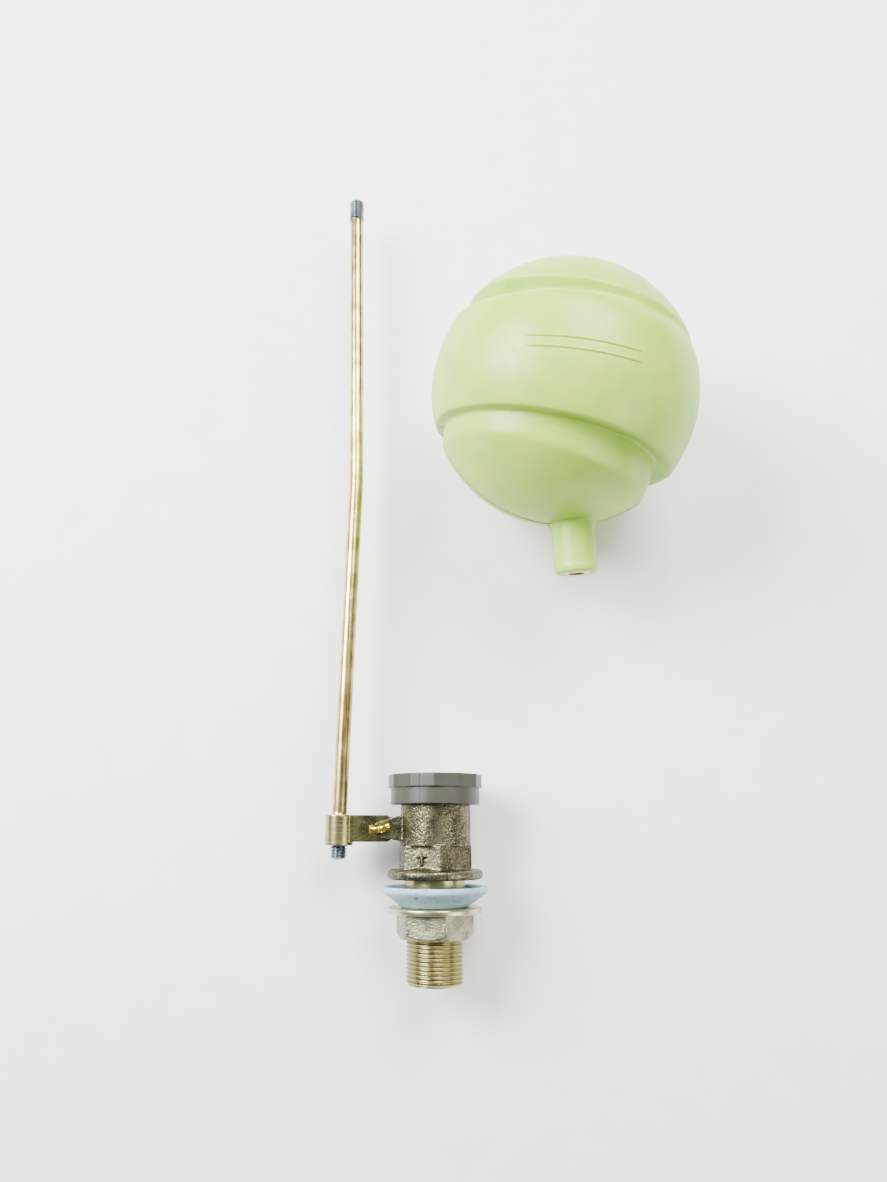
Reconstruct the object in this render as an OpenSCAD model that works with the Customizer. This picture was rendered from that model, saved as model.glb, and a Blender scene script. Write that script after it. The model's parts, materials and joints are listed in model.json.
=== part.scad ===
// Piston float valve for a water tank: a cast brass body with a G 3/4 inlet shank, a
// sliding piston that shuts on a nozzle, a lever with its float rod, and a loose ball float.
// Origin: centre of the free end of the inlet shank. +Y runs from inlet to end cap,
// +Z is the lever's pivot axis, and the lever leaves the body towards -X.

/* [Inlet shank] */
// Outside diameter of the G 3/4 thread
thread_d = 26.44; // [26.4:0.01:26.46]
// Diameter of the thread where the nut and the washers sit at rest
seated_d = 26; // [25.8:0.05:26.1]
// Length of thread below the nut
thread_free_l = 19.5; // [18:0.5:19.5]
// Distance from the free end of the thread to the clamping face of the flange
shank_l = 45.8; // [45.5:0.1:46.5]
// Diameter of the plain neck under the flange
neck_d = 28; // [27:0.5:29]
// Length of the plain neck
neck_l = 5.6; // [5:0.1:5.6]
// Diameter of the water bore
water_d = 16; // [14.5:0.5:18]

/* [Body casting] */
// Diameter of the clamping flange
flange_d = 44.8; // [42:0.2:46]
// Thickness of the clamping flange
flange_t = 4.2; // [4:0.1:5]
// Radius of the rounded flange rim
flange_rim_r = 1.6; // [1:0.1:1.9]
// Radius of the fillet between the flange and the hexagon
flange_fillet_r = 2.6; // [2:0.1:3]
// Width of the body hexagon across its flats
hex_af = 31.7; // [31:0.1:32]
// Angle of one corner of the body hexagon from +X towards +Z
hex_turn = 21.4; // [0:0.1:60]
// Length of the body hexagon
hex_l = 10.6; // [10:0.1:11]
// Outside diameter of the barrel
barrel_d = 33.6; // [33.4:0.1:34]
// Length of the barrel from the hexagon to its open end
barrel_l = 29; // [28.8:0.1:29.4]
// Diameter of the threaded end of the barrel, inside the cap
cap_thread_d = 33; // [32.8:0.1:33.2]
// Diameter of the piston bore
bore_d = 23; // [22.8:0.1:23.2]
// Thickness of the web that holds the nozzle
web_t = 6.1; // [6:0.1:6.4]
// Thickness of one ear
ear_t = 3.2; // [3:0.1:3.6]
// Radius of the ear's tip
ear_tip_r = 3.4; // [3.2:0.1:3.8]
// Height of the ear where it leaves the barrel
ear_root_h = 13.4; // [12:0.2:14]
// Clear gap between the two ears
ear_gap = 8.6; // [8.6:0.1:9]

/* [Lever and split pin] */
// Distance from the barrel's axis to the pivot
pivot_offset = 25.5; // [25.2:0.1:26]
// Distance of the pivot from the free end of the shank
pivot_y = 68.3; // [68:0.1:68.6]
// Thickness of the lever
lever_t = 8; // [7.6:0.1:8]
// Height of the lever's bar above the pivot
lever_up = 6.4; // [6:0.1:6.6]
// Height of the lever's bar below the pivot
lever_down = 5.8; // [5.4:0.1:6]
// Length of the finger from the pivot to the middle of its round tip
finger_l = 17.5; // [17.3:0.1:17.7]
// Radius of the finger's round tip
finger_r = 2.6; // [2.4:0.1:2.6]
// Half height of the finger behind its tip
finger_half = 1.4; // [1.2:0.1:1.5]
// Distance from the pivot to the axis of the rod boss
boss_offset = 20; // [19.5:0.1:21]
// Diameter of the rod boss
boss_d = 13.2; // [12.8:0.1:14]
// Length of the rod boss
boss_l = 13.9; // [13:0.1:14.5]
// Distance of the boss's lower end from the free end of the shank
boss_y = 60.9; // [60.6:0.1:61.5]
// Diameter of the split pin
pin_d = 3.8; // [3.6:0.1:3.8]
// Radial clearance of the split pin in the lever
pin_clear = 0.08; // [0.04:0.01:0.1]
// Diameter of the pin holes in the ears
ear_hole_d = 4.5; // [4.2:0.1:4.6]

/* [Nozzle and piston] */
// Outside diameter of the nozzle's threaded stem
nozzle_d = 14; // [13.6:0.1:14]
// Diameter of the nozzle's collar
nozzle_collar_d = 20.4; // [19.6:0.1:20.8]
// Thickness of the nozzle's collar
nozzle_collar_t = 1.7; // [1.5:0.1:1.8]
// Diameter of the water orifice
orifice_d = 6.4; // [5:0.1:6.8]
// Height of the raised lip around the orifice
lip_h = 1.4; // [1.3:0.1:1.4]
// Thickness of the gasket under the nozzle's collar
seat_gasket_t = 0.9; // [0.8:0.1:1]
// Length of the piston behind its washer cap
piston_l = 16.1; // [16:0.1:16.6]
// Diameter of the piston
piston_d = 22.9; // [22.86:0.01:22.92]
// Height of the cross slot that takes the lever's finger
piston_slot_h = 5.8; // [5.8:0.1:6]
// Diameter of the rubber washer
rubber_d = 17.2; // [16.8:0.1:17.2]
// Diameter of the rubber face that shows through the washer cap
rubber_face_d = 13.2; // [12.8:0.1:13.2]

/* [Float rod] */
// Diameter of the rod between its threads
rod_d = 7; // [6.8:0.1:7.2]
// Major diameter of the rolled 5/16 in thread
rod_thread_d = 7.94; // [7.9:0.01:7.94]
// Length of the lower thread
rod_low_thread_l = 19.5; // [19:0.5:20]
// Length of the thread at the float end
rod_tip_thread_l = 13.4; // [12:0.2:14]
// Height of the lower end of the rod
rod_y = 54.3; // [54:0.1:55]
// Straight length above the lower thread, before the rod leans towards the valve
rod_first_l = 5; // [3:0.5:6]
// Straight leaning length up to the middle bend
rod_lean_l = 168; // [160:1:175]
// Straight length from the middle bend to the tip thread
rod_last_l = 157; // [150:1:165]
// Lean of the rod towards the valve
lean_deg = 1.3; // [1:0.1:1.5]
// Angle of the middle bend
mid_bend_deg = 2.7; // [2:0.1:3]

/* [Ball float] */
// Diameter of the ball
ball_d = 129; // [128:0.5:130]
// Wall of the ball
ball_wall = 1.8; // [1.5:0.1:2.2]
// Distance of the ball's centre from the barrel's axis, towards +X
ball_x = 63; // [60:0.5:66]
// Distance of the ball's centre from the free end of the shank
ball_y = 273.8; // [270:0.1:277]
// Height of the ball's centre above the barrel's axis
ball_z = 39.8; // [39.8:0.1:42]
// Droop of the neck below level
ball_droop = 8; // [6:1:10]
// Turn of the neck towards +X
ball_yaw = 3; // [0:1:5]
// Distance of each groove's plane from the ball's centre
groove_off = 31; // [28:1:33]
// Turn of the grooves across the neck
groove_turn = 16; // [10:1:20]
// Radius of a groove's round section
groove_r = 8; // [6:0.5:9]
// Depth of a groove
groove_depth = 6; // [4:0.2:6.4]
// Diameter of the ball's neck
ball_neck_d = 20.2; // [19.5:0.1:21]
// Distance from the ball's centre to the end of its neck
ball_neck_l = 88.5; // [86:0.5:90]
// Diameter of the threaded bush in the neck
bush_d = 13; // [12.4:0.1:13.2]
// Length of the threaded bush
bush_l = 24; // [22:0.5:25]
// Diameter of the bush's thread
socket_d = 8; // [7.98:0.01:8.04]
// Depth of the bush's thread
socket_l = 18; // [16:0.5:19]

/* [Nut and washers] */
// Width of the back nut across its flats
nut_af = 32; // [31.5:0.1:32.5]
// Height of the back nut
nut_h = 11.1; // [10.5:0.1:11.1]
// Angle of one corner of the back nut from +X towards +Z
nut_turn = 13.7; // [0:0.1:60]
// Radial clearance of the back nut on the thread
nut_clear = 0.06; // [0.03:0.01:0.1]
// Outside diameter of the slip washer
slip_d = 44; // [42:0.2:45]
// Thickness of the slip washer
slip_t = 2.5; // [2:0.1:2.5]
// Bore of both washers
washer_bore_d = 27; // [26.8:0.1:27.2]
// Diameter of the cone washer's rim
cone_d = 49.4; // [48:0.2:50]
// Diameter of the cone washer's small end
cone_small_d = 30.8; // [30:0.2:32]
// Height of the cone washer
cone_h = 9.1; // [8.8:0.1:9.2]
// Height of the cone washer's rim
cone_rim_h = 2.4; // [2:0.1:2.6]
// Wall of the cone washer
cone_wall = 2.8; // [2.4:0.1:3]

/* [End cap] */
// Diameter of the cap's round skirt
cap_d = 42.3; // [41.6:0.1:42.8]
// Diameter across the corners of the twelve-sided grip
grip_d = 44.8; // [44:0.1:46]
// Height of the twelve-sided grip
grip_h = 6.1; // [5.5:0.1:6.5]
// Height of the whole cap
cap_h = 13.8; // [13.4:0.1:14]
// Thickness of the cap's end wall
cap_wall = 2.4; // [2:0.1:2.4]
// Radial clearance of the cap on the barrel's thread
cap_clear = 0.06; // [0.03:0.01:0.1]
// Thickness of the gasket in the cap
cap_gasket_t = 1.4; // [1.2:0.1:1.4]

/* [Hidden] */
$fn = 96;

// Heights along Y, from the free end of the shank
neck_y = shank_l - neck_l;
hex_y = shank_l + flange_t;
barrel_y = hex_y + hex_l;
barrel_end_y = barrel_y + barrel_l;
// The hexagon runs this far up into the barrel, so that no two faces share a plane
hex_overlap = 0.3;
bore_y = 52.6;
web_y = bore_y - web_t;
collar_y = bore_y + seat_gasket_t;
lip_y = collar_y + nozzle_collar_t;
seat_y = lip_y + lip_h;
cap_y = barrel_end_y + cap_gasket_t + cap_wall - cap_h;
grip_y = cap_y + cap_h - grip_h;
slot_low_y = barrel_y + 0.6;
slot_high_y = 81;
slot_floor_x = -8;
ear_root_x = -13;
ear_root_shift = 0.4;

// Piston stack, from the nozzle's lip
seat_gap = 0.02;
rubber_y = seat_y + seat_gap;
rubber_step = 1;
rubber_back_y = rubber_y + 3;
washer_cap_y = rubber_y + 0.2;
spigot_d = 18.4;
spigot_l = 3.9;
piston_y = rubber_back_y + spigot_l;
thread_gap = 0.02;
piston_slot_floor = 4.4;
piston_back_bore_l = 5;
washer_cap_gap = 0.1;

// Rings of the nozzle's lip, as distances outside the orifice
lip_foot = 2;
lip_outer = 1.2;
lip_inner = 0.4;
lip_flare_h = 1;

// Nut and washers, from the free end of the shank
nut_y = thread_free_l + 0.3;
// Gap between the loose parts stacked on the shank
stack_gap = 0.05;
slip_y = nut_y + nut_h + stack_gap;
cone_y = slip_y + slip_t + stack_gap;

rod_x = -(pivot_offset + boss_offset);
boss_bore_d = 8;
rod_first_y = rod_low_thread_l + rod_first_l;
knuckle_gap = 0.3;
knuckle_proud = 0.05;
groove_ring_r = sqrt(pow(ball_d / 2, 2) - pow(groove_off, 2));
// The groove's section is centred outside the ball, along the radius through its ring
groove_out = groove_r - groove_depth;
ball_r = ball_d / 2;

// ---- helpers: everything turned lies along Y ----

module along_y(y) {
    translate([0, y, 0]) rotate([-90, 0, 0]) children();
}

module disc(d, y0, y1) {
    along_y(y0) cylinder(d = d, h = y1 - y0);
}

module ring(outer_d, inner_d, y0, y1) {
    difference() {
        disc(outer_d, y0, y1);
        disc(inner_d, y0 - 1, y1 + 1);
    }
}

module hex_bar(af, y0, y1, turn) {
    along_y(y0) rotate([0, 0, -turn]) cylinder(d = af / cos(30), h = y1 - y0, $fn = 6);
}

// Solid of revolution about Y from an outline of [radius, height] points
module turned(outline) {
    along_y(0) rotate_extrude() polygon(outline);
}

// Disc with a rounded rim
module round_rim_disc(d, t, rim_r, y) {
    inner = d / 2 - rim_r;
    along_y(y) rotate_extrude() {
        square([inner, t]);
        translate([inner, rim_r]) square([rim_r, t - 2 * rim_r]);
        translate([inner, rim_r]) circle(r = rim_r);
        translate([inner, t - rim_r]) circle(r = rim_r);
    }
}

// Concave fillet that rises along Y from a face and closes in on a shaft
module foot_fillet(shaft_d, r, y) {
    along_y(y) rotate_extrude() difference() {
        translate([shaft_d / 2 - 1, 0]) square([r + 1, r]);
        translate([shaft_d / 2 + r, r]) circle(r = r);
    }
}

// Point where the line from p touches a circle, on its left (1) or right (-1)
function touch(p, c, r, side) =
    let (d = c - p, reach = norm(d), a = atan2(d.y, d.x) + side * asin(r / reach))
    p + sqrt(reach * reach - r * r) * [cos(a), sin(a)];

// ---- valve body ----

module ear_outline() {
    pivot = [-pivot_offset, pivot_y];
    top = [ear_root_x, pivot_y + ear_root_h / 2 + ear_root_shift];
    bottom = [ear_root_x, pivot_y - ear_root_h / 2 + ear_root_shift];
    translate(pivot) circle(r = ear_tip_r);
    polygon([top, touch(top, pivot, ear_tip_r, -1), pivot,
             touch(bottom, pivot, ear_tip_r, 1), bottom]);
}

module ears() {
    for (side = [0, 1]) mirror([0, 0, side])
        translate([0, 0, ear_gap / 2]) linear_extrude(ear_t) ear_outline();
}

module valve_body() {
    color("darkkhaki") difference() {
        union() {
            disc(thread_d, 0, thread_free_l);
            disc(seated_d, thread_free_l, neck_y);
            disc(neck_d, neck_y, shank_l);
            round_rim_disc(flange_d, flange_t, flange_rim_r, shank_l);
            foot_fillet(hex_af, flange_fillet_r, hex_y);
            hex_bar(hex_af, hex_y, barrel_y + hex_overlap, hex_turn);
            disc(barrel_d, barrel_y, cap_y);
            disc(cap_thread_d, cap_y, barrel_end_y);
            ears();
        }
        disc(water_d, -1, web_y);
        disc(nozzle_d + 2 * thread_gap, web_y - 1, bore_y + 1);
        disc(bore_d, bore_y, barrel_end_y + 1);
        translate([-barrel_d, slot_low_y, -ear_gap / 2])
            cube([barrel_d + slot_floor_x, slot_high_y - slot_low_y, ear_gap]);
        translate([-pivot_offset, pivot_y, -barrel_d]) cylinder(d = ear_hole_d, h = 2 * barrel_d);
    }
}

module seat_nozzle() {
    stem_r = nozzle_d / 2;
    hole_r = orifice_d / 2;
    color("ivory") turned([
        [hole_r, web_y], [stem_r, web_y], [stem_r, collar_y],
        [nozzle_collar_d / 2, collar_y], [nozzle_collar_d / 2, lip_y],
        [hole_r + lip_foot, lip_y], [hole_r + lip_outer, seat_y], [hole_r + lip_inner, seat_y],
        [hole_r, seat_y - lip_flare_h]
    ]);
}

module seat_gasket() {
    color("firebrick") ring(nozzle_collar_d, nozzle_d + 2 * thread_gap, bore_y, collar_y);
}

// Legs bent apart over the upper ear, and an eye below the lower one
module split_pin() {
    pin_r = pin_d / 2;
    leg_r = 0.94 * pin_r;
    ear_top = ear_gap / 2 + ear_t;
    bend_z = ear_top + pin_r + 0.2;
    leg_l = 4.6;
    eye_r = 2.4;
    wire_r = 1;
    shaft_end = 1.6;
    color("gold") translate([-pivot_offset, pivot_y, 0]) {
        translate([0, 0, -ear_top - shaft_end]) cylinder(r = pin_r, h = ear_top + shaft_end + bend_z);
        translate([0, 0, bend_z]) rotate([0, -96, 0]) cylinder(r = leg_r, h = leg_l);
        translate([0, 0, bend_z]) rotate([0, 84, 20]) cylinder(r = leg_r, h = leg_l);
        translate([0, 0, -ear_top - shaft_end - eye_r]) rotate([90, 0, 0])
            rotate_extrude() translate([eye_r, 0]) circle(r = wire_r);
    }
}

// ---- piston ----

module piston() {
    slot_y = pivot_y - piston_slot_h / 2;
    color("goldenrod") difference() {
        union() {
            disc(piston_d, piston_y, piston_y + piston_l);
            disc(spigot_d, rubber_back_y, piston_y);
        }
        translate([-piston_d, slot_y, -ear_gap / 2]) cube([piston_d - piston_slot_floor, piston_slot_h, ear_gap]);
        disc(piston_d / 2, piston_y + piston_l - piston_back_bore_l, piston_y + piston_l + 1);
    }
}

module piston_washer() {
    color("dimgray") {
        disc(rubber_face_d, rubber_y, rubber_y + rubber_step);
        disc(rubber_d, rubber_y + rubber_step, rubber_back_y - thread_gap);
    }
}

module washer_cap() {
    color("goldenrod") difference() {
        disc(piston_d - washer_cap_gap, washer_cap_y, piston_y - washer_cap_gap);
        disc(rubber_face_d + washer_cap_gap, washer_cap_y - 1, piston_y);
        disc(rubber_d + washer_cap_gap, rubber_y + rubber_step, piston_y);
        disc(spigot_d + 2 * thread_gap, rubber_back_y, piston_y);
    }
}

// ---- lever and float rod ----

module lever_outline() {
    finger_x = 3;
    waist_x = 8.5;
    waist_half = 2.2;
    polygon([
        [-boss_offset, lever_up], [finger_x, lever_up], [waist_x, waist_half], [finger_l, finger_half],
        [finger_l, -finger_half], [waist_x, -waist_half], [finger_x, -lever_down],
        [-boss_offset, -lever_down]
    ]);
    translate([finger_l, 0]) circle(r = finger_r);
}

module lever_arm() {
    color("darkkhaki") difference() {
        union() {
            translate([-pivot_offset, pivot_y, -lever_t / 2]) linear_extrude(lever_t) lever_outline();
            translate([rod_x, 0, 0]) disc(boss_d, boss_y, boss_y + boss_l);
        }
        translate([-pivot_offset, pivot_y, -lever_t])
            cylinder(d = pin_d + 2 * pin_clear, h = 2 * lever_t);
        translate([rod_x, 0, 0]) disc(boss_bore_d, boss_y - 1, boss_y + boss_l + 1);
    }
}

// Knuckle where two straight stretches of the rod meet at an angle, a little proud of both
module rod_knuckle() {
    sphere(d = rod_d + 2 * knuckle_proud);
}

module after_leg(l, turn) {
    translate([0, l, 0]) rotate([0, 0, turn]) children();
}

// Straight stretches along +Y from the boss to the tip, each leaning a little from the last
module float_rod() {
    color("goldenrod") translate([rod_x, rod_y, 0]) {
        disc(rod_thread_d, 0, rod_low_thread_l);
        disc(rod_d, rod_low_thread_l - 1, rod_first_y - knuckle_gap);
        after_leg(rod_first_y, -lean_deg) {
            rod_knuckle();
            disc(rod_d, knuckle_gap, rod_lean_l - knuckle_gap);
            after_leg(rod_lean_l, mid_bend_deg) {
                rod_knuckle();
                disc(rod_d, knuckle_gap, rod_last_l + 1);
                disc(rod_thread_d, rod_last_l, rod_last_l + rod_tip_thread_l);
            }
        }
    }
}

// ---- ball float, drawn with its neck along -Y and its centre at the origin ----

module place_float() {
    translate([ball_x, ball_y, ball_z]) rotate([ball_droop, 0, ball_yaw]) children();
}

// The two groove rings; extra makes room for the wall inside them
module groove_rings(extra) {
    for (side = [-1, 1])
        rotate([0, 0, -groove_turn]) along_y(side * (groove_off + groove_out * groove_off / ball_r))
            rotate_extrude() translate([groove_ring_r * (1 + groove_out / ball_r), 0])
                circle(r = groove_r + extra);
}

module float_shell() {
    neck_r = ball_neck_d / 2;
    rim_r = 2;
    root_l = 58;
    flare_r = 14;
    flare_l = 62.4;
    straight_l = 67;
    bush_room_l = 50;
    color("palegoldenrod") place_float() difference() {
        union() {
            difference() {
                sphere(r = ball_r);
                groove_rings(0);
            }
            turned([[0, -root_l], [flare_r, -flare_l], [neck_r, -straight_l], [neck_r, rim_r - ball_neck_l],
                    [neck_r - rim_r, -ball_neck_l], [0, -ball_neck_l]]);
        }
        difference() {
            sphere(r = ball_r - ball_wall);
            groove_rings(ball_wall);
        }
        disc(bush_d + 2 * thread_gap, -ball_neck_l - 1, -bush_room_l);
    }
}

module float_bush() {
    color("goldenrod") place_float() difference() {
        disc(bush_d, -ball_neck_l, bush_l - ball_neck_l);
        disc(socket_d, -ball_neck_l - 1, socket_l - ball_neck_l);
    }
}

// ---- end cap ----

module end_cap() {
    color("gray") difference() {
        union() {
            disc(cap_d, cap_y, grip_y);
            along_y(grip_y) cylinder(d = grip_d, h = grip_h, $fn = 12);
        }
        disc(cap_thread_d + 2 * cap_clear, cap_y - 1, barrel_end_y + cap_gasket_t);
    }
}

module cap_gasket() {
    side_gap = 0.4;
    color("dimgray") ring(cap_thread_d - side_gap, bore_d + side_gap, barrel_end_y, barrel_end_y + cap_gasket_t);
}

// ---- nut and washers on the shank ----

module cone_washer() {
    small_r = cone_small_d / 2;
    rim_r = cone_d / 2;
    bore_r = washer_bore_d / 2;
    rim_wall = 2.2;
    inset = 0.4;
    color("lightsteelblue") turned([
        [bore_r, cone_y], [small_r, cone_y], [rim_r, cone_y + cone_h - cone_rim_h],
        [rim_r, cone_y + cone_h], [rim_r - rim_wall, cone_y + cone_h],
        [small_r - inset, cone_y + cone_wall], [bore_r, cone_y + cone_wall]
    ]);
}

module slip_washer() {
    color("khaki") ring(slip_d, washer_bore_d, slip_y, slip_y + slip_t);
}

module back_nut() {
    corner_r = nut_af / 2 / cos(30);
    chamfer_h = 2.8;
    clear = 0.5;
    color("darkkhaki") difference() {
        intersection() {
            hex_bar(nut_af, nut_y, nut_y + nut_h, nut_turn);
            turned([[0, nut_y], [nut_af / 2, nut_y], [corner_r + clear, nut_y + chamfer_h],
                    [corner_r + clear, nut_y + nut_h], [0, nut_y + nut_h]]);
        }
        disc(thread_d + 2 * nut_clear, nut_y - 1, nut_y + nut_h + 1);
    }
}

valve_body();
seat_nozzle();
seat_gasket();
split_pin();
piston();
piston_washer();
washer_cap();
lever_arm();
float_rod();
float_shell();
float_bush();
end_cap();
cap_gasket();
cone_washer();
slip_washer();
back_nut();
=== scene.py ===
"""The looks of a piston float valve and its loose ball float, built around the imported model.

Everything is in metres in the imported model's frame: +Y runs from the inlet to the end cap,
+Z is the lever's pivot axis, and the ball lies towards +X.
"""

import json
import math

import bmesh
import bpy
import numpy as np
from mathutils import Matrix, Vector, noise


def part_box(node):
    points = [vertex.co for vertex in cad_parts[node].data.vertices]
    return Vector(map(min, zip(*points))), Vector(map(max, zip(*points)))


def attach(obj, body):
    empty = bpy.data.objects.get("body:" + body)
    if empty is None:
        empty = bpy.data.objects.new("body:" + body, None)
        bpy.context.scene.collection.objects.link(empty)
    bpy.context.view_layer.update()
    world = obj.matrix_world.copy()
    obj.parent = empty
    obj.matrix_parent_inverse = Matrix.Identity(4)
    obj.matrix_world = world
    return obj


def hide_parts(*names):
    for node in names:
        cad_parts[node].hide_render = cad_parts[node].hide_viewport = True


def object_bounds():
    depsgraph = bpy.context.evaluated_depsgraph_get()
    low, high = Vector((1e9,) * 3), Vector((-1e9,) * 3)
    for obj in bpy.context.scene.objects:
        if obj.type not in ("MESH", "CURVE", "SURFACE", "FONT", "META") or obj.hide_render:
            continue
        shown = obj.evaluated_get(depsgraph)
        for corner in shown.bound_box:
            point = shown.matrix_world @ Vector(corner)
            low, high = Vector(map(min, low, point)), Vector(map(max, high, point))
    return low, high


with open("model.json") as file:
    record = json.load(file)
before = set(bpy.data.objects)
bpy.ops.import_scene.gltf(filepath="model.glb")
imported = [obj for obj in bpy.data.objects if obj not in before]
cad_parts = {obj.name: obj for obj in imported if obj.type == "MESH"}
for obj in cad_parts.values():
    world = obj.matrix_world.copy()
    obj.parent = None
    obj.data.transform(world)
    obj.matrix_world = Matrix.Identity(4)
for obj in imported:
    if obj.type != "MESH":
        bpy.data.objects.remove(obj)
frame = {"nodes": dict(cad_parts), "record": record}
cad_low, cad_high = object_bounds()

MM = 0.001
TURN = 2 * math.pi
mounts = {m["name"]: m for m in frame["record"]["mounts"]}

# Sizes that the boxes and mounts don't give
WATER_R = 8 * MM
THREAD_PITCH = 1.814 * MM
THREAD_DEPTH = 1.1 * MM
NECK_R = 14 * MM
NECK_LENGTH = 5.6 * MM
HEX_FLAT = 15.85 * MM
HEX_CORNER_DEG = 21.4
BARREL_R = 16.8 * MM
LEDGE_ABOVE_FLANGE = 14.8 * MM
NUT_FLAT = 16 * MM
NUT_CORNER_DEG = 13.7
NUT_CHAMFER = 2.8 * MM
WASHER_BORE_R = 13.5 * MM
CAP_SKIRT_R = 21.15 * MM
CAP_GRIP_HEIGHT = 6.1 * MM
CAP_BORE_R = 16.56 * MM
CAP_END_WALL = 2.4 * MM
BOSS_R = 6.6 * MM
PIVOT_X = -25.5 * MM
PIVOT_Y = 68.3 * MM
EAR_TOP = 7.5 * MM
PIN_R = 1.9 * MM
ROD_R = 3.5 * MM
ROD_PITCH = 1.411 * MM
ROD_THREAD_DEPTH = 0.8 * MM
ROD_LOW_THREAD = 19.5 * MM
BALL_R = 64.5 * MM
BALL_WALL = 1.8 * MM
BALL_NECK_R = 10.1 * MM
BALL_NECK_END = 88.5 * MM
BUSH_R = 6.52 * MM


# ---- mesh helpers ----

def piece(obj, name, body, slot, node, *materials):
    """Name a finished mesh, give it its materials, hang it on its body and hide the CAD node it stands for.
    """
    obj.name = name
    for material in materials:
        obj.data.materials.append(material)
    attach(obj, body)
    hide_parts(node)
    return obj


def mesh_object(name, points, faces):
    """A smooth-shaded mesh whose normals point outwards."""
    data = bpy.data.meshes.new(name)
    data.from_pydata([tuple(p) for p in points], [], faces)
    bm = bmesh.new()
    bm.from_mesh(data)
    bmesh.ops.recalc_face_normals(bm, faces=bm.faces)
    bm.to_mesh(data)
    bm.free()
    data.polygons.foreach_set("use_smooth", [True] * len(data.polygons))
    obj = bpy.data.objects.new(name, data)
    bpy.context.scene.collection.objects.link(obj)
    return obj


def grid_faces(rows, columns, loop):
    """Quads of a tube of rows; loop joins the last row to the first, else both ends get a pole."""
    faces = []
    for i in range(rows if loop else rows - 1):
        low = i * columns
        high = ((i + 1) % rows) * columns
        for j in range(columns):
            k = (j + 1) % columns
            faces.append((low + j, low + k, high + k, high + j))
    if not loop:
        first = rows * columns
        last = first + 1
        top = (rows - 1) * columns
        for j in range(columns):
            k = (j + 1) % columns
            faces.append((first, k, j))
            faces.append((last, top + j, top + k))
    return faces


def softened(corners, bevel, step, loop=True):
    """Outline through the corners, each one rounded by about bevel and no stretch longer than step."""
    corners = [np.array(c, float) for c in corners]
    count = len(corners)
    longest = 0.4
    stops = []
    for i, corner in enumerate(corners):
        if not loop and i in (0, count - 1):
            stops.append(corner)
            continue
        before = corners[i - 1] - corner
        after = corners[(i + 1) % count] - corner
        reach = min(bevel, longest * np.linalg.norm(before), longest * np.linalg.norm(after))
        start = corner + before / np.linalg.norm(before) * reach
        end = corner + after / np.linalg.norm(after) * reach
        for t in np.linspace(0, 1, 5):
            stops.append((1 - t) ** 2 * start + 2 * t * (1 - t) * corner + t * t * end)
    line = []
    for i in range(len(stops) if loop else len(stops) - 1):
        a = stops[i]
        b = stops[(i + 1) % len(stops)]
        parts = max(1, math.ceil(np.linalg.norm(b - a) / step))
        line += [a + (b - a) * k / parts for k in range(parts)]
    if not loop:
        line.append(stops[-1])
    return np.array(line)


def revolved(name, outline, columns, loop=True, radius=None):
    """Surface around the Y axis from (radius, y) rows; radius may reshape it by angle."""
    angles = np.arange(columns) * TURN / columns
    poles = None
    if not loop:
        poles = [(0, outline[0][1], 0), (0, outline[-1][1], 0)]
        outline = outline[1:-1]
    r = outline[:, :1]
    y = outline[:, 1:]
    r = np.broadcast_to(r, (len(outline), columns)) if radius is None else radius(r, y, angles[None, :])
    y = np.broadcast_to(y, r.shape)
    points = np.stack([r * np.cos(angles), y, r * np.sin(angles)], -1).reshape(-1, 3)
    if poles:
        points = np.vstack([points, poles])
    return mesh_object(name, points, grid_faces(len(outline), columns, loop))


def polygon_radius(angles, flat, sides, corner_deg):
    """Distance from the axis to a regular polygon's side."""
    part = TURN / sides
    turn = (angles - math.radians(corner_deg)) % part - part / 2
    return flat / np.cos(turn)


def soft_min(a, b, blend):
    """The smaller of two values, with a rounded change from one to the other."""
    return -blend * np.logaddexp(-a / blend, -b / blend)


def soft_max(a, b, blend):
    """The larger of two values, with a rounded change from one to the other."""
    return blend * np.logaddexp(a / blend, b / blend)


def thread_height(along, angles, pitch):
    """0 in a thread's root and 1 on its crest."""
    phase = (along / pitch - angles / TURN) % 1
    ridge = 1 - np.abs(2 * phase - 1)
    return ridge * ridge * (3 - 2 * ridge)


def smoothstep(value):
    """0 below 0, 1 above 1 and an easy curve between."""
    value = np.clip(value, 0, 1)
    return value * value * (3 - 2 * value)


def joined(name, parts):
    """One object from several meshes; each keeps its own material index."""
    bm = bmesh.new()
    for part in parts:
        bm.from_mesh(part.data)
    data = bpy.data.meshes.new(name)
    bm.to_mesh(data)
    bm.free()
    for part in parts:
        bpy.data.objects.remove(part)
    obj = bpy.data.objects.new(name, data)
    bpy.context.scene.collection.objects.link(obj)
    return obj


def set_material_index(obj, index):
    """Give every face the same material index."""
    obj.data.polygons.foreach_set("material_index", [index] * len(obj.data.polygons))


def cad_copy(name, node):
    """A welded copy of a CAD node's mesh."""
    bm = bmesh.new()
    bm.from_mesh(frame["nodes"][node].data)
    bmesh.ops.remove_doubles(bm, verts=bm.verts, dist=0.002 * MM)
    data = bpy.data.meshes.new(name)
    bm.to_mesh(data)
    bm.free()
    obj = bpy.data.objects.new(name, data)
    bpy.context.scene.collection.objects.link(obj)
    return obj


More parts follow.
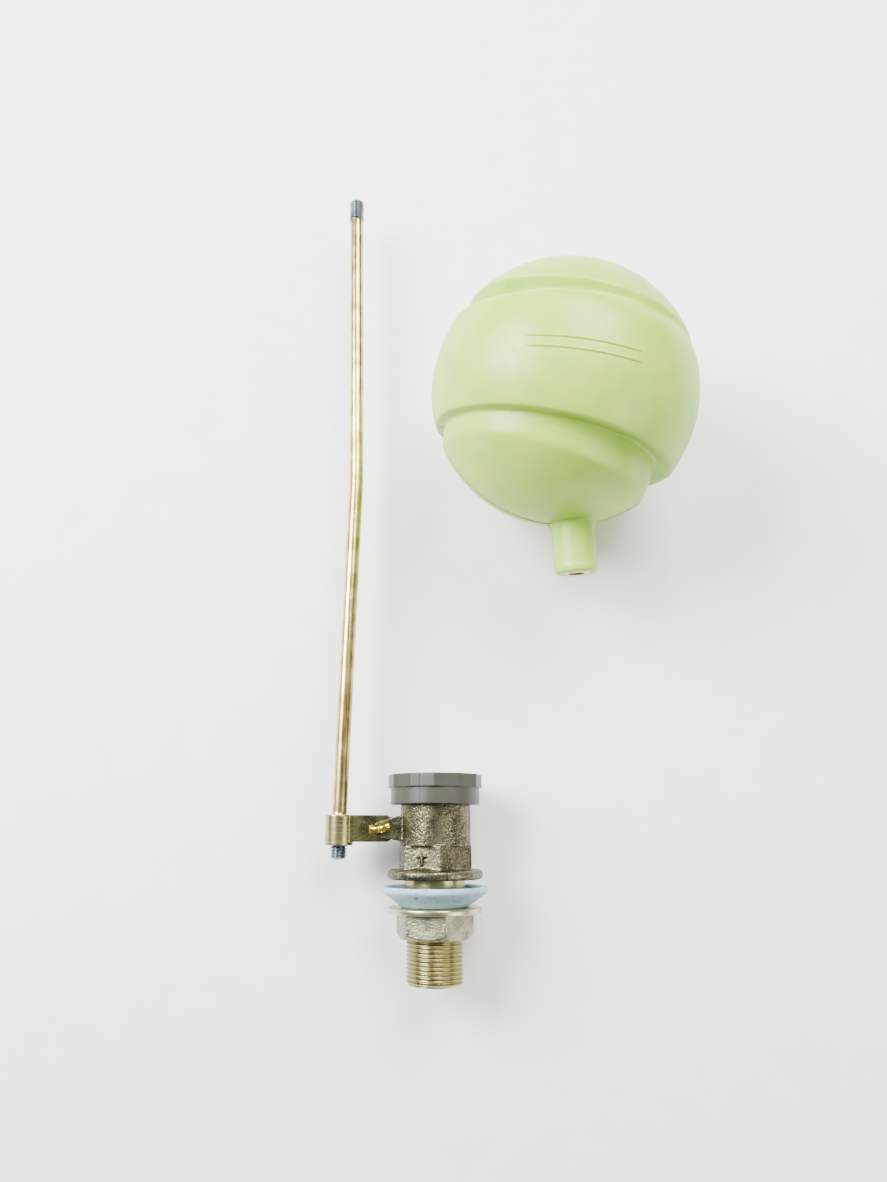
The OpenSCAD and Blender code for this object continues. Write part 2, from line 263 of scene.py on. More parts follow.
def cast_form(obj, voxel, rounds):
    """Remesh a closed form evenly and soften its edges, as a sand casting's are."""
    remesh = obj.modifiers.new("remesh", "REMESH")
    remesh.mode = "VOXEL"
    remesh.voxel_size = voxel
    smooth = obj.modifiers.new("smooth", "SMOOTH")
    smooth.factor = 0.5
    smooth.iterations = rounds
    shown = obj.evaluated_get(bpy.context.evaluated_depsgraph_get())
    data = bpy.data.meshes.new_from_object(shown)
    obj.modifiers.clear()
    obj.data = data
    data.polygons.foreach_set("use_smooth", [True] * len(data.polygons))


def roughen(obj, height):
    """Push each vertex along its normal; height gives the distance from the place."""
    count = len(obj.data.vertices)
    places = np.zeros(3 * count, np.float32)
    normals = np.zeros(3 * count, np.float32)
    obj.data.vertices.foreach_get("co", places)
    obj.data.vertices.foreach_get("normal", normals)
    places = places.reshape(-1, 3)
    normals = normals.reshape(-1, 3)
    push = np.array([height(Vector(place)) for place in places])
    obj.data.vertices.foreach_set("co", (places + normals * push[:, None]).astype(np.float32).ravel())
    obj.data.update()


def sand_grain(place, amplitude, grain):
    """Two octaves of noise: sand grains and the slow waviness of the mould."""
    fine = noise.noise(place / grain)
    slow = noise.noise(place / (5 * grain) + Vector((7, 3, 1)))
    return amplitude * (0.6 * fine + 0.4 * slow)


# ---- materials ----

class Paint:
    """A Principled material and short names for the nodes that colour it."""

    def __init__(self, name, **plain):
        self.material = bpy.data.materials.new(name)
        self.material.use_nodes = True
        self.tree = self.material.node_tree
        self.shader = self.tree.nodes["Principled BSDF"]
        for socket, value in plain.items():
            self.shader.inputs[socket.replace("_", " ")].default_value = value
        self.place = self.tree.nodes.new("ShaderNodeTexCoord").outputs["Object"]

    def noise(self, size_mm, detail=3.0, stretch=(1, 1, 1)):
        """Noise whose grains are about size_mm across, drawn out by stretch."""
        scaled = self.tree.nodes.new("ShaderNodeMapping")
        scaled.inputs["Scale"].default_value = [1 / (size_mm * MM * s) for s in stretch]
        self.tree.links.new(self.place, scaled.inputs["Vector"])
        texture = self.tree.nodes.new("ShaderNodeTexNoise")
        texture.inputs["Scale"].default_value = 1.0
        texture.inputs["Detail"].default_value = detail
        self.tree.links.new(scaled.outputs["Vector"], texture.inputs["Vector"])
        return texture.outputs["Fac"]

    def ramp(self, value, low, high, start=0.35, end=0.65):
        """Colour or grey from low to high as value goes from start to end."""
        node = self.tree.nodes.new("ShaderNodeValToRGB")
        stops = node.color_ramp.elements
        stops[0].position = start
        stops[1].position = end
        for stop, colour in zip(stops, (low, high)):
            stop.color = (*colour, 1) if hasattr(colour, "__len__") else (colour,) * 3 + (1,)
        self.tree.links.new(value, node.inputs["Fac"])
        return node.outputs["Color"]

    def mix(self, factor, a, b):
        """From a to b as factor goes from 0 to 1."""
        node = self.tree.nodes.new("ShaderNodeMix")
        node.data_type = "RGBA"
        for value, socket in ((factor, node.inputs[0]), (a, node.inputs[6]), (b, node.inputs[7])):
            if hasattr(value, "__len__"):
                socket.default_value = (*value, 1)
            else:
                self.tree.links.new(value, socket)
        return node.outputs[2]

    def bump(self, height, strength, distance_mm):
        """Fine relief that the light sees but the mesh does not have."""
        node = self.tree.nodes.new("ShaderNodeBump")
        node.inputs["Strength"].default_value = strength
        node.inputs["Distance"].default_value = distance_mm * MM
        self.tree.links.new(height, node.inputs["Height"])
        self.tree.links.new(node.outputs["Normal"], self.shader.inputs["Normal"])

    def finish(self, colour, roughness):
        """Join the last two values to the shader and give back the material."""
        self.tree.links.new(colour, self.shader.inputs["Base Color"])
        self.tree.links.new(roughness, self.shader.inputs["Roughness"])
        return self.material


def cast_brass(name, dark, middle, pale):
    """Sand-cast brass: dull patches and bright grains."""
    paint = Paint(name, Metallic=1.0)
    patches = paint.ramp(paint.noise(7), dark, middle)
    grains = paint.noise(0.42, detail=4)
    sparkle = paint.ramp(grains, 0.0, 1.0, 0.54, 0.70)
    colour = paint.mix(sparkle, patches, pale)
    paint.bump(grains, 0.6, 0.14)
    return paint.finish(colour, paint.ramp(grains, 0.58, 0.26))


def turned_brass(name, dark, pale, line_mm=0.12, roughness=(0.2, 0.36)):
    """Machined brass with fine lines around the Y axis."""
    paint = Paint(name, Metallic=1.0)
    lines = paint.noise(line_mm, detail=2, stretch=(150, 1, 150))
    colour = paint.mix(paint.noise(4), dark, pale)
    paint.bump(lines, 0.2, 0.03)
    return paint.finish(colour, paint.ramp(lines, *roughness))


def drawn_brass(name, dark, pale, roughness=(0.2, 0.34)):
    """Drawn rod with fine lines along the Y axis and faint tarnish."""
    paint = Paint(name, Metallic=1.0)
    lines = paint.noise(0.2, detail=2, stretch=(1, 200, 1))
    colour = paint.mix(paint.ramp(paint.noise(9), 0.0, 1.0), dark, pale)
    paint.bump(lines, 0.2, 0.03)
    return paint.finish(colour, paint.ramp(lines, *roughness))


def plastic(name, low, high, roughness, grain_mm, bump_mm, speck=None):
    """Moulded plastic with slow tone changes, a fine skin and, if asked for, scuffs or specks."""
    paint = Paint(name, Metallic=0.0)
    colour = paint.ramp(paint.noise(18, detail=2), low, high)
    if speck:
        speck_colour, size_mm, start = speck
        marks = paint.ramp(paint.noise(size_mm, detail=4), 0.0, 1.0, start, start + 0.04)
        colour = paint.mix(marks, colour, speck_colour)
    skin = paint.noise(grain_mm, detail=3)
    paint.bump(skin, 0.25, bump_mm)
    return paint.finish(colour, paint.ramp(skin, *roughness))


body_cast = cast_brass("body_cast", (0.018, 0.019, 0.012), (0.100, 0.094, 0.052), (0.62, 0.57, 0.34))
nut_cast = cast_brass("nut_cast", (0.12, 0.13, 0.08), (0.33, 0.335, 0.215), (0.90, 0.88, 0.62))
lever_cast = cast_brass("lever_cast", (0.024, 0.024, 0.010), (0.070, 0.067, 0.029), (0.30, 0.275, 0.14))
shank_turned = turned_brass("shank_turned", (0.27, 0.235, 0.10), (0.44, 0.40, 0.19))
boss_turned = turned_brass("boss_turned", (0.25, 0.225, 0.10), (0.46, 0.42, 0.20))
slip_turned = turned_brass("slip_turned", (0.36, 0.34, 0.18), (0.66, 0.63, 0.39))
inner_turned = turned_brass("inner_turned", (0.42, 0.32, 0.13), (0.66, 0.52, 0.25))
rod_drawn = drawn_brass("rod_drawn", (0.32, 0.23, 0.075), (0.62, 0.49, 0.20))
rod_thread = drawn_brass("rod_thread", (0.06, 0.085, 0.10), (0.20, 0.24, 0.27))
pin_bright = drawn_brass("pin_bright", (0.58, 0.39, 0.03), (0.88, 0.65, 0.09), (0.12, 0.22))
float_skin = plastic("float_skin", (0.285, 0.51, 0.030), (0.345, 0.57, 0.048), (0.36, 0.48), 1.5, 0.03,
                     ((0.10, 0.09, 0.05), 2.4, 0.79))
cap_skin = plastic("cap_skin", (0.023, 0.025, 0.015), (0.034, 0.036, 0.023), (0.36, 0.50), 0.6, 0.03)
cone_skin = plastic("cone_skin", (0.20, 0.35, 0.44), (0.33, 0.48, 0.57), (0.40, 0.58), 0.8, 0.04,
                    ((0.11, 0.14, 0.16), 1.8, 0.62))
nozzle_skin = plastic("nozzle_skin", (0.78, 0.76, 0.68), (0.84, 0.82, 0.75), (0.3, 0.45), 0.6, 0.02)
fibre_skin = plastic("fibre_skin", (0.30, 0.05, 0.03), (0.42, 0.08, 0.05), (0.7, 0.9), 0.3, 0.05)
rubber_skin = plastic("rubber_skin", (0.02, 0.02, 0.02), (0.05, 0.05, 0.05), (0.6, 0.8), 0.4, 0.04)


# ---- the valve ----

def shank(flange_y):
    """Threaded shank and plain neck, bored through."""
    crest = mounts["inlet_thread"]["dims"]["r_mm"] * MM
    neck_y = flange_y - NECK_LENGTH
    chamfer = 1.4 * MM
    bore_edge = 0.5 * MM
    tuck = 0.05 * MM
    shoulder = 0.4 * MM
    outline = softened([
        (WATER_R + bore_edge, 0), (crest - chamfer, 0), (crest, chamfer), (crest, neck_y),
        (NECK_R, neck_y + shoulder), (NECK_R, flange_y + tuck), (WATER_R, flange_y + tuck),
        (WATER_R, bore_edge),
    ], 0.15 * MM, 0.15 * MM)

    def radius(r, y, angles):
        """The thread's ridges, fading out at the neck."""
        fade = smoothstep((neck_y - y) / THREAD_PITCH)
        root = crest - THREAD_DEPTH * fade * (1 - thread_height(y, angles, THREAD_PITCH))
        threaded = (r > crest - chamfer - 0.01 * MM) & (y < neck_y)
        return np.where(threaded, np.minimum(r, root), r)

    return revolved("shank", outline, 160, radius=radius)


def flow_arrow(flange_y):
    """A plain raised arrow on the hexagon's front facet, pointing the way the water flows."""
    facing = math.radians(HEX_CORNER_DEG + 90)
    out = Vector((math.cos(facing), 0, math.sin(facing)))
    side = Vector((math.sin(facing), 0, -math.cos(facing)))
    centre_y = flange_y + 9.6 * MM
    half = 3.4 * MM
    head = 0.4 * MM
    wide = 2.4 * MM
    narrow = 0.6 * MM
    outline = [(-narrow, -half), (narrow, -half), (narrow, head), (wide, head), (0, half),
               (-wide, head), (-narrow, head)]
    sunk = HEX_FLAT - 0.8 * MM
    proud = HEX_FLAT + 0.85 * MM
    points = [side * a + Vector((0, centre_y + b, 0)) + out * level
              for level in (sunk, proud) for a, b in outline]
    n = len(outline)
    faces = [tuple(range(n)), tuple(range(n, 2 * n))]
    faces += [(i, (i + 1) % n, n + (i + 1) % n, n + i) for i in range(n)]
    return mesh_object("flow_arrow", points, faces)


def valve_body():
    """Rough casting from the flange up, joined to the turned shank below it."""
    flange_y = mounts["tank_face"]["pos_m"][1]
    casting = cad_copy("casting", "valve_body")
    overlap = 0.5 * MM
    bm = bmesh.new()
    bm.from_mesh(casting.data)
    cut = bmesh.ops.bisect_plane(
        bm, geom=bm.verts[:] + bm.edges[:] + bm.faces[:], plane_co=(0, flange_y - overlap, 0),
        plane_no=(0, 1, 0), clear_inner=True)
    rims = [e for e in cut["geom_cut"] if isinstance(e, bmesh.types.BMEdge)]
    bmesh.ops.bridge_loops(bm, edges=rims)
    bm.to_mesh(casting.data)
    bm.free()
    casting = joined("casting", [casting, flow_arrow(flange_y)])
    cast_form(casting, 0.34 * MM, 3)
    ledge_y = flange_y + LEDGE_ABOVE_FLANGE
    smooth_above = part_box("end_cap")[0].y - 0.5 * MM
    smooth_within = HEX_FLAT - 0.6 * MM
    ear_gap = 4.8 * MM
    flange_top = flange_y + 4.4 * MM
    grain_height = 0.16 * MM
    grain_size = 0.8 * MM
    ledge_half = 0.7 * MM
    ledge_height = 0.22 * MM
    ledge_grain = 1.3 * MM
    ledge_reach = BARREL_R + 0.6 * MM

    def height(place):
        """Grain on the outside only, and a ragged ledge where the barrel meets the hexagon."""
        out = math.hypot(place.x, place.z)
        inside = out < smooth_within or place.y > smooth_above
        between_ears = abs(place.z) < ear_gap and place.x < 0
        if inside or between_ears:
            return 0
        strength = 0.5 if place.y < flange_top else 1.0
        push = sand_grain(place, grain_height * strength, grain_size)
        if abs(place.y - ledge_y) < ledge_half and out < ledge_reach:
            push += ledge_height * max(0, noise.noise(place / ledge_grain))
        return push

    roughen(casting, height)
    set_material_index(casting, 0)
    turned = shank(flange_y)
    set_material_index(turned, 1)
    piece(joined("body", [casting, turned]), "valve_casting", "valve", "cast_brass", "valve_body",
          body_cast, shank_turned)


def lever():
    """Rough cast arm with a machined boss for the rod."""
    arm = cad_copy("arm", "lever_arm")
    cast_form(arm, 0.28 * MM, 2)
    boss_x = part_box("lever_arm")[0].x + BOSS_R
    boss_reach = BOSS_R + 0.25 * MM
    hidden_from_x = PIVOT_X - 4 * MM
    grain_height = 0.14 * MM
    grain_size = 0.6 * MM

    def on_boss(place):
        """Whether a place is on the machined boss."""
        return math.hypot(place.x - boss_x, place.z) < boss_reach

    def height(place):
        """Grain on the bar, none on the boss or near the ears and the finger."""
        hidden = place.x > hidden_from_x
        return 0 if hidden or on_boss(place) else sand_grain(place, grain_height, grain_size)

    roughen(arm, height)
    for face in arm.data.polygons:
        face.material_index = 1 if on_boss(face.center) else 0
    piece(arm, "lever_casting", "lever", "lever_brass", "lever_arm", lever_cast, boss_turned)


def half_round_leg(lean, heading_deg, foot):
    """One half of the split pin: up the hole, then bent over towards heading."""
    heading = math.radians(heading_deg)
    side = Vector((math.cos(heading), math.sin(heading), 0))
    up = Vector((0, 0, 1))
    bend_r = 0.9 * MM
    leg_l = 3.6 * MM
    tip_l = 0.5 * MM
    tip_size = 0.78
    bend_z = EAR_TOP + PIN_R + 0.3 * MM
    stops = [(Vector((0, 0, foot)), 0.0)]
    stops += [(Vector((0, 0, bend_z)) + side * bend_r * (1 - math.cos(a)) + up * bend_r * math.sin(a), a)
              for a in np.linspace(0, math.radians(90 + lean), 9)]
    last, angle = stops[-1]
    along = side * math.sin(angle) + up * math.cos(angle)
    stops += [(last + along * leg_l, angle), (last + along * (leg_l + tip_l), angle)]
    across = up.cross(side)
    section = [(PIN_R * math.sin(t), PIN_R * math.cos(t)) for t in np.linspace(0, math.pi, 17)]
    points = []
    for i, (centre, angle) in enumerate(stops):
        outward = side * math.cos(angle) - up * math.sin(angle)
        size = tip_size if i == len(stops) - 1 else 1.0
        middle = outward * PIN_R * (1 - size) * 0.5
        points += [Vector((PIVOT_X, PIVOT_Y, 0)) + centre + middle + outward * u * size + across * v * size
                   for u, v in section]
    n = len(section)
    faces = [(i * n + j, i * n + (j + 1) % n, (i + 1) * n + (j + 1) % n, (i + 1) * n + j)
             for i in range(len(stops) - 1) for j in range(n)]
    faces += [tuple(range(n)), tuple(range((len(stops) - 1) * n, len(stops) * n))]
    return mesh_object("leg", points, faces)


def pin_eye(centre_z, eye_r, wire_r):
    """The split pin's ring."""
    turns = 48
    sides = 16
    points = []
    for i in range(turns):
        a = TURN * i / turns
        for j in range(sides):
            b = TURN * j / sides
            reach = eye_r + wire_r * math.cos(b)
            points.append((PIVOT_X + reach * math.cos(a), PIVOT_Y + wire_r * math.sin(b),
                           centre_z + reach * math.sin(a)))
    return mesh_object("eye", points, grid_faces(turns, sides, True))


def split_pin():
    """Two half-round legs bent apart above the ears, and the ring below them."""
    eye_r = 2.4 * MM
    wire_r = 1.0 * MM
    eye_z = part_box("split_pin")[0].z + eye_r + wire_r
    foot = eye_z + eye_r - 0.6 * MM
    parts = [half_round_leg(6, 180, foot), half_round_leg(-6, 20, foot), pin_eye(eye_z, eye_r, wire_r)]
    piece(joined("pin", parts), "split_pin_bent", "valve", "pin_brass", "split_pin", pin_bright)


def float_rod():
    """Rod with two slight bends and a rolled thread at each end."""
    low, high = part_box("float_rod")
    start_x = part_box("lever_arm")[0].x + BOSS_R
    first_bend = 24.5 * MM
    middle_bend = 192.5 * MM
    lean_in = math.radians(1.3)
    lean_back = math.radians(2.7)
    ease = 14 * MM
    tip_thread = mounts["rod_tip"]["dims"]["length_mm"] * MM
    crest = mounts["rod_tip"]["dims"]["r_mm"] * MM
    bend_stretch = 1.0002
    length = (high.y - low.y) * bend_stretch
    tip_start = length - tip_thread
    dome = 1.6 * MM
    dome_share = 0.85
    end_gap = 0.05 * MM
    fine = ROD_PITCH / 10
    coarse = 2.5 * MM
    rows = np.concatenate([
        np.arange(end_gap, ROD_LOW_THREAD, fine), np.arange(ROD_LOW_THREAD, tip_start, coarse),
        np.arange(tip_start, length - end_gap, fine)])
    lean = (-lean_in * smoothstep((rows - first_bend) / ease + 0.5)
            + lean_back * smoothstep((rows - middle_bend) / ease + 0.5))
    steps = np.diff(rows, prepend=0)
    centre_x = start_x - np.cumsum(np.sin(lean) * steps)
    centre_y = low.y + np.cumsum(np.cos(lean) * steps)
    columns = 56
    angles = np.arange(columns) * TURN / columns
    threaded = (rows < ROD_LOW_THREAD) | (rows > tip_start)
    ridge = thread_height(rows[:, None], angles[None, :], ROD_PITCH)
    radius = np.where(threaded[:, None], crest - ROD_THREAD_DEPTH * (1 - ridge), ROD_R)
    to_end = np.clip(np.minimum(rows, length - rows) / dome, 0, 1)
    radius = radius * np.sqrt(1 - (1 - to_end) ** 2 * dome_share)[:, None]
    across = radius * np.cos(angles)
    points = np.stack([centre_x[:, None] + across * np.cos(lean)[:, None],
                       centre_y[:, None] + across * np.sin(lean)[:, None],
                       radius * np.sin(angles)], -1).reshape(-1, 3)
    ends = [(centre_x[0], low.y, 0), (centre_x[-1], high.y - 0.02 * MM, 0)]
    rod = mesh_object("rod", np.vstack([points, ends]), grid_faces(len(rows), columns, False))
    for face in rod.data.polygons:
        along = face.center.y - low.y
        face.material_index = 1 if along < ROD_LOW_THREAD or along > tip_start else 0
    piece(rod, "bent_rod", "lever", "rod_brass", "float_rod", rod_drawn, rod_thread)


# ---- nut and washers ----

def back_nut():
    """Cast hexagon nut, chamfered towards the shank's free end. Rows hold a share of the way out."""
    low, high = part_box("back_nut")
    bore = mounts["inlet_thread"]["dims"]["r_mm"] * MM + 0.06 * MM
    corner = NUT_FLAT / math.cos(math.pi / 6)
    inset = 0.4 * MM
    overshoot = 1 * MM
    edge_out = 0.2 * MM
    edge_l = 0.5 * MM
    edge_slope = 0.8
    rim = 0.96
    lip = 0.02
    side = np.linspace(0, 1, 60)
    outline = np.array([(u, low.y) for u in np.linspace(0, rim, 16)]
                       + [(1 - lip * (1 - t) * (t < lip), low.y + t * (high.y - low.y)) for t in side]
                       + [(u, high.y) for u in np.linspace(rim, 0, 16)])

    def radius(u, y, angles):
        """Flats cut back by the chamfer below and a small edge above."""
        flats = polygon_radius(angles, NUT_FLAT, 6, NUT_CORNER_DEG)
        low_chamfer = NUT_FLAT - inset + (y - low.y) * (corner - NUT_FLAT + overshoot) / NUT_CHAMFER
        high_edge = corner + edge_out - np.maximum(0, y - high.y + edge_l) * edge_slope
        limit = soft_min(soft_min(flats, low_chamfer, 0.18 * MM), high_edge, 0.12 * MM)
        return bore + u * (limit - bore)

    nut = revolved("nut", outline, 300, radius=radius)

    smooth_within = bore + 0.7 * MM
    proudest = 0.02 * MM
    grain_height = 0.2 * MM
    grain_size = 0.7 * MM

    def height(place):
        """Grain outside the bore, mostly inwards so that the nut stays inside its size."""
        inside = math.hypot(place.x, place.z) < smooth_within
        return 0 if inside else min(proudest, sand_grain(place, grain_height, grain_size))

    roughen(nut, height)
    piece(nut, "back_nut_cast", "nut", "nut_brass", "back_nut", nut_cast)


def slip_washer():
    """Flat turned ring with rounded edges."""
    low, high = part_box("slip_washer")
    outline = softened([(WASHER_BORE_R, low.y), (high.x, low.y), (high.x, high.y),
                        (WASHER_BORE_R, high.y)], 0.7 * MM, 1 * MM)
    washer = revolved("slip", outline, 160)
    piece(washer, "slip_washer_turned", "washer", "slip_brass", "slip_washer", slip_turned)


def cone_washer():
    """Moulded cone with a thick rim and shallow dents."""
    low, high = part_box("cone_washer")
    rim = high.x
    small = 15.4 * MM
    floor_t = 2.8 * MM
    rim_h = 2.4 * MM
    rim_wall = 2.2 * MM
    dent = 0.06 * MM
    dent_size = 3 * MM
    outline = softened([
        (WASHER_BORE_R, low.y), (small, low.y), (rim, high.y - rim_h), (rim, high.y),
        (rim - rim_wall, high.y), (small - 0.4 * MM, low.y + floor_t), (WASHER_BORE_R, low.y + floor_t),
    ], 0.9 * MM, 0.8 * MM)
    cone = revolved("cone", outline, 200)
    roughen(cone, lambda place: -dent * max(0, noise.noise(place / dent_size)))
    piece(cone, "cone_washer_moulded", "cone", "white_plastic", "cone_washer", cone_skin)


def end_cap():
    """Cap with a round skirt, a twelve-sided grip and one faint mould seam."""
    low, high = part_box("end_cap")
    grip_corner = high.z
    grip_y = high.y - CAP_GRIP_HEIGHT
    inner_y = high.y - CAP_END_WALL
    seam = math.radians(108)
    seam_width = 0.3 * MM
    seam_depth = 0.12 * MM
    top_l = 0.4 * MM
    wall_from = CAP_BORE_R + 0.5 * MM
    seam_from = CAP_SKIRT_R - 0.1 * MM
    outline = softened([
        (0, high.y), (grip_corner, high.y), (grip_corner, grip_y), (CAP_SKIRT_R, grip_y - 0.02 * MM),
        (CAP_SKIRT_R, low.y), (CAP_BORE_R, low.y), (CAP_BORE_R, inner_y), (0, inner_y),
    ], 0.35 * MM, 0.7 * MM, loop=False)

    def radius(r, y, angles):
        """Twelve flats on the grip, and the seam's fine line down the whole side."""
        sides = polygon_radius(angles, grip_corner * math.cos(math.pi / 12), 12, 0)
        sides = soft_min(sides, grip_corner - 0.05 * MM, 0.06 * MM)
        spread = (sides - CAP_SKIRT_R) / (grip_corner - CAP_SKIRT_R)
        grip = np.where(r > CAP_SKIRT_R, CAP_SKIRT_R + (r - CAP_SKIRT_R) * spread, r)
        top = np.where(y > high.y - top_l, r * sides / grip_corner, grip)
        shaped = np.where((y > grip_y - 0.01 * MM) & (r > wall_from), top, r)
        line = np.exp(-(((angles - seam) * CAP_SKIRT_R / seam_width) ** 2))
        return shaped - np.where(r > seam_from, seam_depth * line, 0)

    cap = revolved("cap", outline, 480, loop=False, radius=radius)
    piece(cap, "end_cap_moulded", "cap", "cap_plastic", "end_cap", cap_skin)


# ---- the ball float ----

GROOVE_PLANE = 31 * MM
GROOVE_TURN = math.radians(16)
INNER_GROOVE_SHARE = 1.08
RIDGE_MM = 0.4
WEB_MM = 1.4
WEB_SHARPNESS = 24
BALL_BORE_TOP = -60 * MM


def groove_depth(directions):
    """Depth of the two grooves. Each has a steep side towards +Y and a long ramp on the other,
    and fades along its length: the far one towards +X, the near one towards -X."""
    axis = np.array([math.sin(GROOVE_TURN), math.cos(GROOVE_TURN), 0])
    right = np.array([math.cos(GROOVE_TURN), -math.sin(GROOVE_TURN), 0])
    height = directions @ axis
    share = ((directions @ right) / np.sqrt(np.maximum(1 - height ** 2, 1e-6)) + 1) / 2
    share = smoothstep(share)
    polar = np.arccos(np.clip(height, -1, 1))
    total = np.zeros(len(directions))
    rings = ((1, 8.0 - 7.0 * share, 10.0),
             (-1, 4.0 + 4.6 * share, 9.0 + 7.0 * share))
    steep = 2.6
    rounding = 0.16
    edge_rounding = 0.07
    for side, depth, ramp in rings:
        line = math.acos(side * GROOVE_PLANE / BALL_R)
        up = (line - polar) * BALL_R / MM
        rise = soft_max(up / steep, -up / ramp, rounding)
        total += depth * MM * soft_max(1 - rise, 0, edge_rounding)
    return total


def ball_columns():
    """Angles round the neck, with two extra each side of the parting line."""
    even = np.arange(420) * TURN / 420
    close = math.radians(0.32)
    extra = [a % TURN for centre in (0, math.pi) for a in (centre - close, centre + close)]
    return np.sort(np.concatenate([even, extra]))


def parting_ridge(angles):
    """1 on the parting line, which is the plane of the neck and the ball's X axis."""
    off = np.minimum(angles % math.pi, math.pi - angles % math.pi)
    return (off < math.radians(0.1)).astype(float)


def ball_rows(flat, polars, reach):
    """Rings at the given angles from the ball's far end; reach gives each point's distance."""
    rows = []
    for polar in polars:
        out = flat * math.sin(polar)
        out[:, 1] = math.cos(polar)
        rows.append(out * reach(out)[:, None])
    return rows


def neck_ring(flat, radius, y):
    """One ring of the neck."""
    ring = flat * radius[:, None]
    ring[:, 1] = y
    return ring


def neck_rows(flat, angles, root_r, root_y):
    """Rings down the neck's flared root and side, over its rounded lip and back up the bore."""
    ridge = parting_ridge(angles)
    web = np.abs(np.cos(angles)) ** WEB_SHARPNESS
    flare_l = 4.2 * MM
    rows = []
    for t in np.linspace(0.1, 1, 12):
        wide = BALL_NECK_R + (root_r - BALL_NECK_R) * (1 - t) ** 2
        relief = (RIDGE_MM * ridge + WEB_MM * web * (1 - t)) * MM
        rows.append(neck_ring(flat, wide + relief, root_y - flare_l * t))
    neck_end = -BALL_NECK_END
    lip_h = 0.25 * MM
    round_r = 2 * MM
    profile = [(BALL_NECK_R, y) for y in np.linspace(root_y - 6 * MM, neck_end + 3.4 * MM, 10)]
    profile.append((BALL_NECK_R + lip_h, neck_end + 2.9 * MM))
    profile.append((BALL_NECK_R - 0.05 * MM, neck_end + 2.3 * MM))
    profile += [(BALL_NECK_R - round_r * (1 - math.cos(a)), neck_end + round_r * (1 - math.sin(a)))
                for a in np.linspace(0.1, math.pi / 2, 8)]
    profile.append((BUSH_R, neck_end))
    profile += [(BUSH_R, y) for y in np.linspace(neck_end + 0.5 * MM, BALL_BORE_TOP, 8)]
    for r, y in profile:
        on_side = r > BALL_NECK_R - 0.3 * MM
        rows.append(neck_ring(flat, r + lip_h * ridge * on_side, y))
    return rows


def ball_shell(centre, body_turn):
    """Hollow ball with its neck along local -Y, turned and moved into place."""
    angles = ball_columns()
    flat = np.stack([np.cos(angles), np.zeros_like(angles), np.sin(angles)], -1)
    ridge = parting_ridge(angles)
    root = math.pi - math.radians(9.4)
    outside = np.linspace(math.pi / 300, root, 330)
    rows = ball_rows(flat, outside, lambda out: BALL_R - groove_depth(out) + RIDGE_MM * MM * ridge)
    rows += neck_rows(flat, angles, BALL_R * math.sin(root), BALL_R * math.cos(root))
    inner_r = BALL_R - BALL_WALL
    hole = math.asin(BUSH_R / inner_r) + 0.02
    inside = np.linspace(math.pi - hole, math.pi / 120, 90)
    rows += ball_rows(flat, inside, lambda out: inner_r - INNER_GROOVE_SHARE * groove_depth(out))
    top = BALL_R - groove_depth(np.array([[0, 1.0, 0]]))[0]
    poles = [(0, top, 0), (0, top - BALL_WALL, 0)]
    points = np.vstack(rows + [poles]) @ body_turn.T + centre
    return mesh_object("shell", points, grid_faces(len(rows), len(angles), False))


def plain_rib(shift, centre, body_turn, columns=60, sides=10):
    """A straight raised rib with rounded ends on the band between the grooves."""
    half_length = 25 * MM
    droop = 5 * MM
    radius = 0.75 * MM
    sunk = 0.25 * MM
    stops = []
    for t in np.linspace(-1, 1, columns):
        across = half_length * t
        along = shift - droop * t
        up = math.sqrt(BALL_R ** 2 - across ** 2 - along ** 2)
        stops.append(np.array([across, along, up]))
    points = []
    for i, stop in enumerate(stops):
        ahead = stops[min(i + 1, columns - 1)] - stops[max(i - 1, 0)]
        ahead /= np.linalg.norm(ahead)
        out = stop / np.linalg.norm(stop)
        side = np.cross(ahead, out)
        taper = math.sqrt(max(0.02, 1 - (2 * i / (columns - 1) - 1) ** 16))
        for j in range(sides):
            a = TURN * j / sides
            points.append(stop - out * sunk + (side * math.cos(a) + out * math.sin(a)) * radius * taper)
    faces = [(i * sides + j, i * sides + (j + 1) % sides, (i + 1) * sides + (j + 1) % sides,
              (i + 1) * sides + j) for i in range(columns - 1) for j in range(sides)]
    faces += [tuple(range(sides)), tuple(range((columns - 1) * sides, columns * sides))]
    return mesh_object("rib", np.array(points) @ body_turn.T + centre, faces)


def float_ball():
    """The ball with two plain ribs, turned so that its neck runs along the socket's axis."""
    socket = mounts["float_socket"]
    neck_axis = np.array(socket["axis"])
    centre = np.array(socket["pos_m"]) - neck_axis * (BALL_NECK_END - socket["dims"]["length_mm"] * MM / 2)
    along = -neck_axis
    right = np.cross(along, [0, 0, 1])
    right /= np.linalg.norm(right)
    body_turn = np.stack([right, along, np.cross(right, along)], 1)
    parts = [ball_shell(centre, body_turn), plain_rib(2.4 * MM, centre, body_turn),
             plain_rib(-2.4 * MM, centre, body_turn)]
    piece(joined("ball", parts), "float_ball", "float", "float_plastic", "float_shell", float_skin)


# ---- CAD nodes that keep their shape ----

def finish_inner_nodes():
    """Materials for the CAD nodes that have no shape of their own here."""
    finishes = {
        "seat_nozzle": nozzle_skin, "seat_gasket": fibre_skin, "piston": inner_turned,
        "piston_washer": rubber_skin, "washer_cap": inner_turned, "float_bush": inner_turned,
        "cap_gasket": rubber_skin,
    }
    for node, material in finishes.items():
        data = frame["nodes"][node].data
        data.materials.clear()
        data.materials.append(material)


# ---- stage, light and camera ----

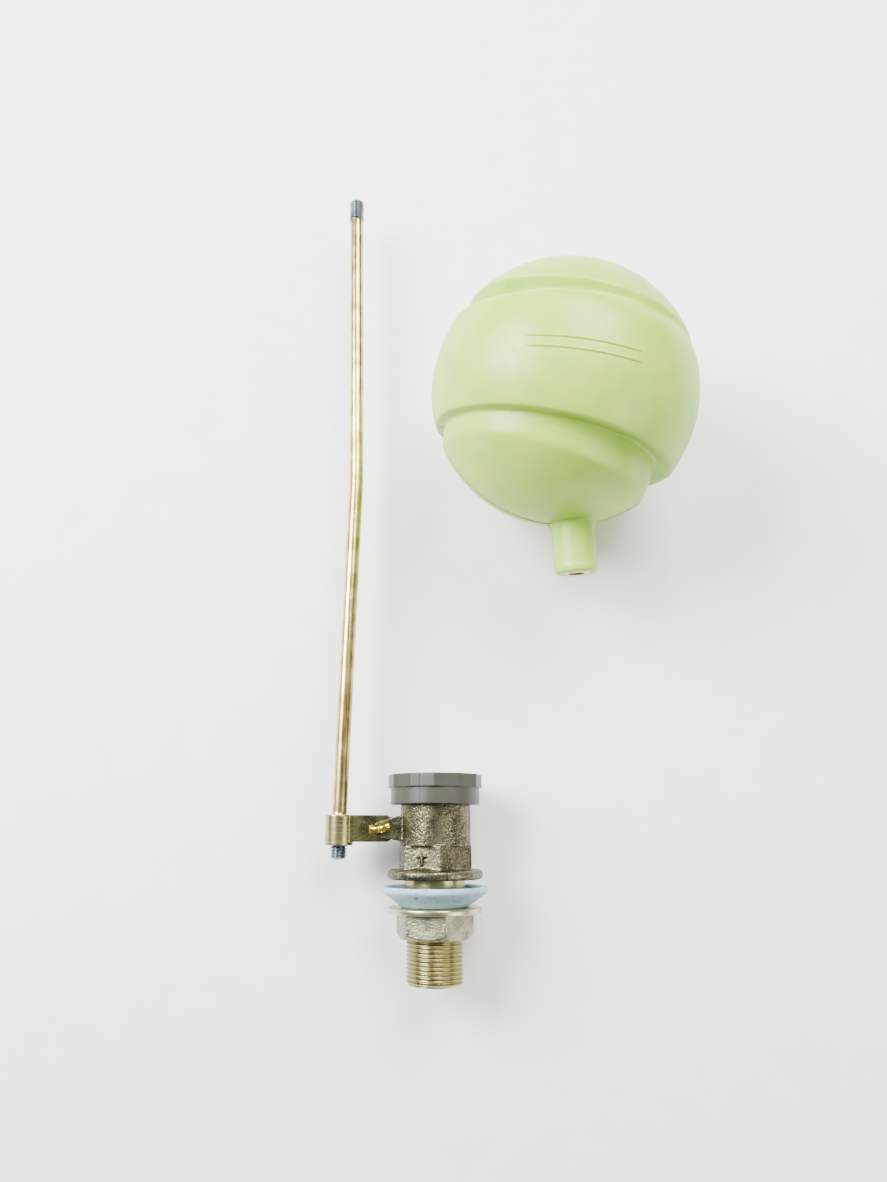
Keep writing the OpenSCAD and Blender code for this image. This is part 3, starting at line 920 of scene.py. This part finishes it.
def floor():
    """Pale plain ground under the lowest point of the object."""
    bm = bmesh.new()
    bmesh.ops.create_grid(bm, x_segments=4, y_segments=4, size=3)
    data = bpy.data.meshes.new("floor")
    bm.to_mesh(data)
    bm.free()
    obj = bpy.data.objects.new("floor", data)
    bpy.context.scene.collection.objects.link(obj)
    obj.location = ((cad_low.x + cad_high.x) / 2, (cad_low.y + cad_high.y) / 2, cad_low.z)
    data.materials.append(plastic("floor_paint", (0.86, 0.86, 0.85), (0.89, 0.89, 0.88), (0.6, 0.7), 5, 0.02))


def area_light(name, place, target, size, power, colour=(1, 1, 1)):
    """A square light aimed at a target."""
    data = bpy.data.lights.new(name, "AREA")
    data.shape = "SQUARE"
    data.size = size
    data.energy = power
    data.color = colour
    obj = bpy.data.objects.new(name, data)
    bpy.context.scene.collection.objects.link(obj)
    obj.location = place
    obj.rotation_euler = (Vector(target) - Vector(place)).to_track_quat("-Z", "Y").to_euler()


def lighting():
    """Window light from the upper left, two weaker lights and a dim, even surrounding."""
    middle = ((cad_low.x + cad_high.x) / 2, (cad_low.y + cad_high.y) / 2, 0)
    area_light("window", (-0.75, 0.55, 0.75), middle, 0.6, 52, (0.98, 0.99, 1.0))
    area_light("overhead", (0.32, 0.85, 0.85), middle, 0.6, 30)
    area_light("fill", (0.8, -0.2, 0.6), middle, 0.6, 7, (1.0, 0.97, 0.92))
    world = bpy.data.worlds.new("studio")
    world.use_nodes = True
    sky = world.node_tree.nodes["Background"].inputs
    sky["Color"].default_value = (0.95, 0.97, 1.0, 1)
    sky["Strength"].default_value = 0.30
    bpy.context.scene.world = world


def camera():
    """Above the valve and tilted towards the ball, from where the object was seen."""
    data = bpy.data.cameras.new("camera")
    data.lens = 27.05
    data.sensor_width = 36
    data.clip_start = 0.01
    obj = bpy.data.objects.new("camera", data)
    bpy.context.scene.collection.objects.link(obj)
    obj.location = (4 * MM, PIVOT_Y - 0.5 * MM, 436 * MM)
    obj.rotation_euler = (math.radians(15.07), 0, 0)
    bpy.context.scene.camera = obj


valve_body()
lever()
split_pin()
float_rod()
back_nut()
slip_washer()
cone_washer()
end_cap()
float_ball()
finish_inner_nodes()
floor()
lighting()
camera()
